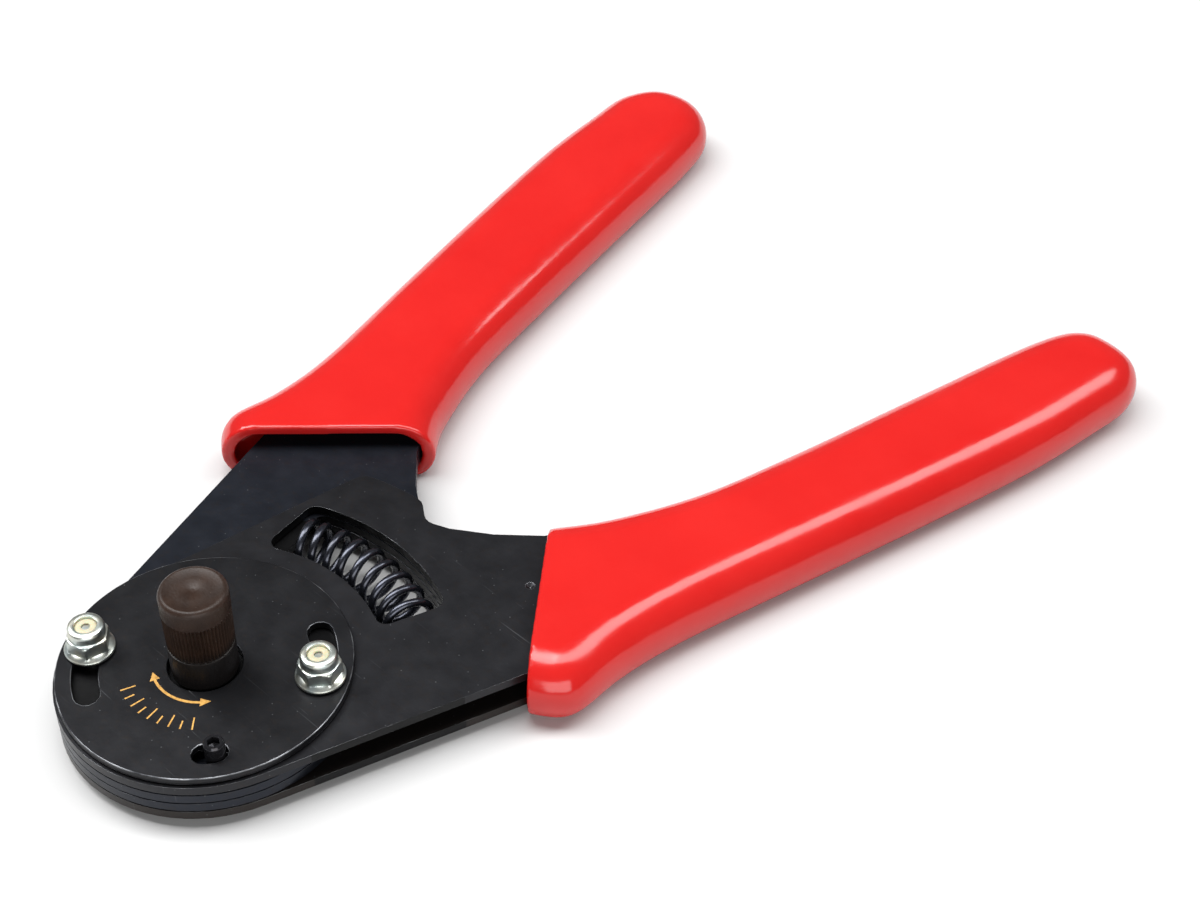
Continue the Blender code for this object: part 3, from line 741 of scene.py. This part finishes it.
def run_on(outline):
    """The outline with its two loose ends drawn out, clear of the mouth."""
    first, second = Vector(outline[0]), Vector(outline[1])
    last, before = Vector(outline[-1]), Vector(outline[-2])
    start = first + (first - second).normalized() * RUN_ON
    end = last + (last - before).normalized() * RUN_ON
    return [tuple(start)] + curve_through(outline[1:-1], SPAN_STEPS) + [tuple(end)]


def add_remesh(solid):
    remesh = solid.modifiers.new("remesh", "REMESH")
    remesh.mode = "VOXEL"
    remesh.voxel_size = VOXEL * MM


def carved(name, body, cutters):
    """Makes a body whole, cuts the cutters out of it, then rounds all its edges by remeshing."""
    pieces = [bpy.data.objects.new(name, to_mesh(name, shape)) for shape in [body] + cutters]
    for piece in pieces:
        bpy.context.scene.collection.objects.link(piece)
    solid = pieces[0]
    add_remesh(solid)
    for cutter in pieces[1:]:
        cut = solid.modifiers.new("cut", "BOOLEAN")
        cut.operation = "DIFFERENCE"
        cut.object = cutter
    add_remesh(solid)
    relax = solid.modifiers.new("relax", "SMOOTH")
    relax.factor = 0.5
    relax.iterations = RELAX_PASSES
    bpy.context.view_layer.update()
    seen = solid.evaluated_get(bpy.context.evaluated_depsgraph_get())
    mesh = bpy.data.meshes.new_from_object(seen)
    for piece in pieces:
        bpy.data.objects.remove(piece)
    return mesh


def add_grips():
    """Dipped grips, cut open for the plates; the moving one is hollow at its mouth."""
    vinyl = red_dip()
    outer = (box_mm("outer_plate_bottom")[0].z, box_mm("outer_plate_top")[1].z)
    inner = (box_mm("inner_plate_bottom")[0].z, box_mm("inner_plate_top")[1].z)
    height = box_mm("frame_grip")[1].z
    tang = inset(TANG, -GAP)
    sides = {"frame_grip": (FRAME_GRIP, FRAME_MOUTH, list, outer, "frame"),
             "moving_grip": (MOVING_GRIP, MOVING_MOUTH, mirrored, inner, "moving_handle")}
    for node, (outline, mouth, place, plates, body) in sides.items():
        even = evened(run_on(outline), SPACING)
        fine = respaced([Vector(p) for p in place(even)])
        cutters = [prism(place(before_mouth(*mouth)), -1.0, height + 1.0),
                   prism(place(tang), plates[0] - GAP, plates[1] + GAP)]
        if node == "moving_grip":
            wide = evened(clip(even, mouth[0], mouth[1] + MOUTH_DEPTH), SPACING)
            hollow = shrunk(place(wide), MOUTH_WALL)
            cutters.append(grip_skin(hollow, outer[0] - GAP, outer[1] + WIDE_MOUTH_GAP,
                                     MOUTH_EDGES))
        mesh = carved(node, grip_skin(fine, 0.0, height, GRIP_EDGES), cutters)
        add_piece("dipped_" + node, mesh, vinyl, "grip_pvc", body, node, sharp=80.0)


# --- nuts, studs and drive screw -----------------------------------------------------------

NUT_SIDES = 96
NUT_FLATS = 7.0
NUT_HEXAGON = (1.2, 3.9)       # lowest and highest level of the flats, above the seat
NYLON_R = (0.75, 1.93)
SOCKET_SHARE = 0.62            # of the drive screw's radius


def centre_mm(node):
    low, high = box_mm(node)
    return ((low.x + high.x) / 2, (low.y + high.y) / 2)


def add_nuts():
    """Flange lock nuts with a nylon ring rolled into the collar, on their studs."""
    zinc = bright_zinc()
    nylon = lock_nylon()
    for side, turn in (("left", 12.0), ("right", 41.0)):
        node = "nut_" + side
        spot = centre_mm(node)
        low, high = box_mm(node)
        seat, top = low.z, high.z

        def hexagon(angle, radius, z):
            to_flat = abs((angle + turn) % 60.0 - 30.0)
            if NUT_HEXAGON[0] < z - seat < NUT_HEXAGON[1]:
                return min(radius, NUT_FLATS / 2 / cos(radians(to_flat)))
            return radius

        shell = [(2.15, 0.0), (4.2, 0.0), (4.42, 0.08), (4.5, 0.24), (4.5, 0.5), (4.42, 0.66),
                 (4.25, 0.78), (4.02, 1.02), (3.98, 1.25), (3.98, 1.35), (3.98, 3.1),
                 (3.94, 3.4), (3.8, 3.62), (3.6, 3.78), (3.38, 3.86), (3.3, 4.0), (3.3, 5.0)]
        shell += [(3.28, 5.3), (3.2, 5.55), (3.05, 5.77), (2.8, 5.92), (2.45, 6.0), (2.15, 5.97),
                  (2.0, 5.88), (1.96, 5.7), (1.96, 4.2), (2.15, 4.0)]
        profile = [(radius, seat + z) for radius, z in shell]
        nut = lathe(profile, NUT_SIDES, spot, closed=True, reshape=hexagon)
        add_piece("flange_" + node, nut, zinc, "zinc", "frame", node, sharp=24.0)

        ring = [(1.45, -1.7), (NYLON_R[1], -1.7), (NYLON_R[1], -0.62), (1.8, -0.5), (1.5, -0.4),
                (1.15, -0.36), (0.85, -0.4), (NYLON_R[0], -0.52), (NYLON_R[0], -0.7), (1.45, -0.75)]
        collar = lathe([(r, top + z) for r, z in ring], 64, spot, closed=True)
        add_piece("nylon_ring_" + side, collar, nylon, "nylon", "frame", "nut_insert_" + side)

        foot = box_mm("stud_" + side)[0].z
        shank = [(0.4, 0.12), (2.6, 0.12), (3.1, 0.0), (3.45, 0.12), (3.6, 0.4), (3.6, 1.75),
                 (3.5, 1.95), (3.3, 2.0), (1.95, 2.0), (1.95, top - 2.4), (1.42, top - 2.0),
                 (1.42, top - 1.0), (1.36, top - 0.86), (1.2, top - 0.8), (0.4, top - 0.78)]
        stud = lathe([(r, foot + z) for r, z in shank], 64, spot)
        add_piece("lock_stud_" + side, stud, zinc, "zinc", "frame", "stud_" + side)


def add_drive_screw():
    """Socket set screw, proud of the disc."""
    spot = centre_mm("drive_screw")
    low, high = box_mm("drive_screw")
    radius = (high.x - low.x) / 2
    top = high.z
    socket = radius * SOCKET_SHARE

    def hexagon(angle, reach, _):
        to_flat = abs(angle % 60.0 - 30.0)
        inside = reach < radius * 0.72
        return reach * cos(radians(30.0)) / cos(radians(to_flat)) if inside else reach

    profile = [(0.3, top - 1.9), (socket, top - 1.5), (socket, top - 0.12),
               (socket + 0.06, top - 0.03), (radius * 0.76, top), (radius - 0.34, top)]
    profile += soften([(radius - 0.3, top), (radius, top - 0.35), (radius, top - 0.8)], 0.12)
    profile += [(radius, low.z + 0.3), (radius - 0.3, low.z), (0.3, low.z)]
    screw = lathe(profile, 72, spot, reshape=hexagon)
    oxide = black_oxide("black_screw", tint=(0.03, 0.03, 0.034), shine=0.15)
    add_piece("set_screw", screw, oxide, "plate_steel", "moving_handle", "drive_screw", sharp=28.0)


# --- knob ----------------------------------------------------------------------------------

RIBS = 56
RIB_DEPTH = 0.42
KNURL = (6.0, 14.3)            # above the disc
KNURL_STEPS = 8
BORE_DEPTH = 11.5
STEM_R = 4.6
SHOULDER_DROP = 1.1            # of the knob's underside, below the top of the disc


def add_knob():
    """Moulded knob: smooth skirt, ribbed grip, smooth head with a dished top."""
    low, high = box_mm("knob")
    head_r = (high.x - low.x) / 2 - 0.05
    base_r = head_r - 0.15
    top = high.z
    knurl_low, knurl_high = (DISC_TOP + z for z in KNURL)
    base = DISC_TOP - SHOULDER_DROP

    def ribs(angle, radius, z):
        if not knurl_low + 0.2 < z < knurl_high - 0.2:
            return radius
        return radius - RIB_DEPTH * (0.5 - 0.5 * cos(radians(angle * RIBS)))

    wall = [(3.2, low.z + 0.4), (3.5, low.z), (STEM_R - 0.3, low.z), (STEM_R, low.z + 0.3),
            (STEM_R, base), (base_r - 0.5, base), (base_r - 0.25, base + 0.25),
            (base_r - 0.02, base + 0.9), (base_r, knurl_low - 0.35),
            (base_r - 0.06, knurl_low - 0.1), (base_r - 0.3, knurl_low),
            (base_r - 0.32, knurl_low + 0.19), (base_r - 0.04, knurl_low + 0.25),
            (base_r - 0.02, knurl_low + 0.6)]
    run = knurl_high - knurl_low - 1.2
    wall += [(base_r - 0.02 + 0.12 * i / KNURL_STEPS, knurl_low + 0.6 + run * i / KNURL_STEPS)
             for i in range(1, KNURL_STEPS + 1)]
    wall += [(head_r + 0.02, knurl_high - 0.25), (head_r - 0.12, knurl_high - 0.15),
             (head_r - 0.12, knurl_high), (head_r, knurl_high + 0.12), (head_r, top - 1.15)]
    wall += [(head_r - 0.05, top - 0.75), (head_r - 0.22, top - 0.38), (head_r - 0.5, top - 0.12),
             (head_r - 0.8, top), (head_r - 1.05, top - 0.03), (head_r - 1.35, top - 0.16),
             (3.0, top - 0.2), (0.7, top - 0.18), (0.6, top - 0.24), (0.3, top - 0.25)]
    bore_end = low.z + BORE_DEPTH
    wall = [(0.3, bore_end + 0.8), (3.2, bore_end)] + wall
    knob = lathe(wall, RIBS * 8, reshape=ribs)
    # painted shade on the knob's skirt fades out between these heights
    resin = brown_resin(knurl_low - 0.6, knurl_low + 2.4)
    add_piece("moulded_knob", knob, resin, "knob_resin", "knob", "knob", sharp=40.0)


# --- return spring -------------------------------------------------------------------------

SPRING_ORBIT = 37.5
SPRING_COIL_R = 4.55
SPRING_TURNS = 9.0
SPRING_HALF_ANGLE = 23.2
SPRING_STEPS = 48              # to a turn
CLOSED_TURNS = 0.8             # at either end
CLOSED_PITCH = 2.15            # in radii of the wire


def add_return_spring():
    """Coil spring bent along the window."""
    low, high = box_mm("return_spring")
    wire_r = (high.z - low.z) / 2 - SPRING_COIL_R
    middle_z = (high.z + low.z) / 2
    count = round(SPRING_TURNS * SPRING_STEPS)
    close = CLOSED_TURNS * SPRING_STEPS
    end_pitch = degrees(CLOSED_PITCH * wire_r / (SPRING_ORBIT - SPRING_COIL_R)) / SPRING_STEPS
    open_pitch = (2 * SPRING_HALF_ANGLE - 2 * close * end_pitch) / (count - 2 * close)
    path = []
    angle = -SPRING_HALF_ANGLE
    for i in range(count + 1):
        turn = 2 * pi * i / SPRING_STEPS
        x, y = polar(SPRING_ORBIT + SPRING_COIL_R * cos(turn), angle)
        path.append((x, y, middle_z - SPRING_COIL_R * sin(turn)))
        middle = close <= i + 0.5 <= count - close
        angle += open_pitch if middle else end_pitch
    spring = add_piece("bent_spring", tube(path, wire_r), spring_steel(), "spring_steel",
                       None, "return_spring", sharp=60.0)
    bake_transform(spring)


# --- marks on the disc ---------------------------------------------------------------------

MARK_HEIGHT = 0.03
ARROW_R = 9.1
ARROW_ANGLES = (149.0, 239.0)
ARROW_HALF_WIDTH = 0.25
ARROW_BARB = 0.9               # half width of an arrowhead
ARROW_HEAD_ANGLE = 12.0
TICK_ANGLES = range(160, 229, 8)
TICK_R = (13.4, 15.2)
TICK_HALF = 0.55               # half width of a tick, as an angle
TICK_EXTRA = 0.9               # every other tick reaches this much further in


def flat_mark(outline):
    return prism(outline, DISC_TOP, DISC_TOP + MARK_HEIGHT)


def add_marks():
    """Arc with two arrowheads, and a row of setting ticks in place of printed words."""
    ink = gold_ink()
    head = ARROW_HEAD_ANGLE
    start, end = ARROW_ANGLES
    outer = arc(ARROW_R + ARROW_HALF_WIDTH, start + head, end - head)
    inner = arc(ARROW_R - ARROW_HALF_WIDTH, end - head, start + head)
    barbs_end = [polar(ARROW_R + ARROW_BARB, end - head), polar(ARROW_R, end),
                 polar(ARROW_R - ARROW_BARB, end - head)]
    barbs_start = [polar(ARROW_R - ARROW_BARB, start + head), polar(ARROW_R, start),
                   polar(ARROW_R + ARROW_BARB, start + head)]
    arrow = flat_mark(outer + barbs_end + inner + barbs_start)
    add_piece("setting_arrow", arrow, ink, None, "disc")
    for number, angle in enumerate(TICK_ANGLES):
        inmost = TICK_R[0] - (TICK_EXTRA if number % 2 == 0 else 0.0)
        first, last = angle - TICK_HALF, angle + TICK_HALF
        tick = [polar(inmost, first), polar(TICK_R[1], first), polar(TICK_R[1], last),
                polar(inmost, last)]
        add_piece(f"setting_tick_{number}", flat_mark(tick), ink, None, "disc")


add_camera()
add_studio()
add_floor()
finish_cad_nodes()
add_grips()
add_nuts()
add_drive_screw()
add_knob()
add_return_spring()
add_marks()

bpy.context.view_layer.update()
